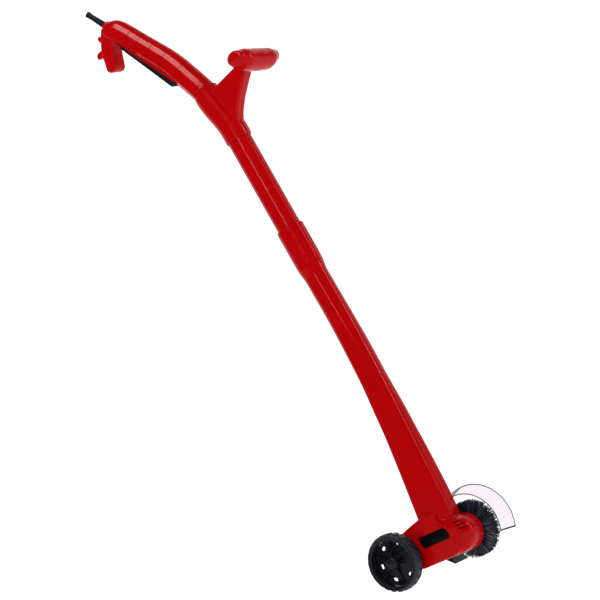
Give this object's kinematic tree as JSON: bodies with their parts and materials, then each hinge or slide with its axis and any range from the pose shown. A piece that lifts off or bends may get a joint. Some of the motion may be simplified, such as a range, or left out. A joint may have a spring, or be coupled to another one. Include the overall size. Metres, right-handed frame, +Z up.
{
  "type": "electric joint and edge brush",
  "caption": "Long-handled electric lawn edge and paving joint cleaner: a nylon brush under a clear guard beside a guide wheel, on a slim curved shaft with a T grip and a trigger handle.",
  "frame": {"origin": "middle of the footprint box, on the ground under the guide wheel and the brush, with the machine in its working pose", "axes": "+X forward, the way the machine is pushed; +Y to the user's left, the brush side; +Z up"},
  "size_m": [0.3743, 0.1164, 1.1607],
  "materials": {
    "red_plastic": "gloss",
    "black_plastic": "satin",
    "soft_black": "matte",
    "tyre_rubber": "matte",
    "nylon_bristle": "satin",
    "clear_guard": "gloss",
    "label_black": "satin",
    "steel": "satin",
    "bronze": "satin",
    "iron_core": "matte",
    "white_plastic": "satin",
    "worm_steel": "satin"
  },
  "bodies": {
    "frame": {"lower_housing_right": "red_plastic", "lower_housing_left": "red_plastic", "rear_handle_right": "red_plastic", "rear_handle_left": "red_plastic", "front_handle_right": "red_plastic", "front_handle_left": "red_plastic", "upper_tube": "red_plastic", "guard_bracket": "black_plastic", "motor_end_cap": "black_plastic", "switch_body": "black_plastic", "cord_clamp": "black_plastic", "cord_sleeve": "soft_black", "spindle_seal": "soft_black", "motor_lead": "soft_black", "splash_guard": "clear_guard", "label_plate": "label_black", "housing_screws": "steel", "handle_screws": "steel", "front_handle_screws": "steel", "tube_screw": "steel", "guard_screws": "steel", "cord_clamp_screws": "steel", "wheel_axle": "steel", "wheel_washer": "steel", "wheel_clip": "steel", "trigger_pin": "steel", "trigger_spring": "steel", "spindle_bearing_near": "steel", "spindle_bearing_far": "steel", "motor_can": "steel", "motor_bearing_lower": "bronze", "motor_bearing_upper": "bronze", "worm_bearing": "bronze", "carbon_brushes": "iron_core"},
    "wheel": {"wheel_rim": "black_plastic", "tyre": "tyre_rubber", "hub_cap": "black_plastic"},
    "brush": {"brush_spindle": "steel", "worm_wheel": "white_plastic", "brush_flange": "steel", "brush_hub": "black_plastic", "bristle_ring": "nylon_bristle", "brush_washer": "steel", "brush_nut": "black_plastic"},
    "rotor": {"armature": "iron_core", "motor_fan": "white_plastic", "worm": "worm_steel"},
    "trigger_lever": {"trigger": "black_plastic"},
    "plunger": {"switch_plunger": "white_plastic"}
  },
  "joints": [
    {"name": "wheel_spin", "type": "hinge", "parent": "frame", "child": "wheel", "pos_m": [-0.00165, -0.04335, 0.05], "axis": [0, 1, 0], "continuous": true},
    {"name": "brush_spin", "type": "hinge", "parent": "frame", "child": "brush", "pos_m": [0.11535, 0.03565, 0.05], "axis": [0, 1, 0], "continuous": true},
    {"name": "motor_spin", "type": "hinge", "parent": "frame", "child": "rotor", "pos_m": [0.08835, 0.00165, 0.12], "axis": [0, 0, 1], "continuous": true},
    {"name": "trigger_pull", "type": "hinge", "parent": "frame", "child": "trigger_lever", "pos_m": [-0.12365, 0.00165, 1.08], "axis": [0, -1, 0], "range_deg": [0, 4], "stiffness_Nm_per_rad": 1.5, "springref_deg": -6.88},
    {"name": "plunger_slide", "type": "slide", "parent": "frame", "child": "plunger", "axis": [0.7547, 0, 0.6561], "range_m": [0, 0.0046]}
  ],
  "couplings": [
    {"joint": "motor_spin", "follows": "brush_spin", "ratio": -14},
    {"joint": "plunger_slide", "follows": "trigger_pull", "m_per_rad": 0.0645}
  ]
}
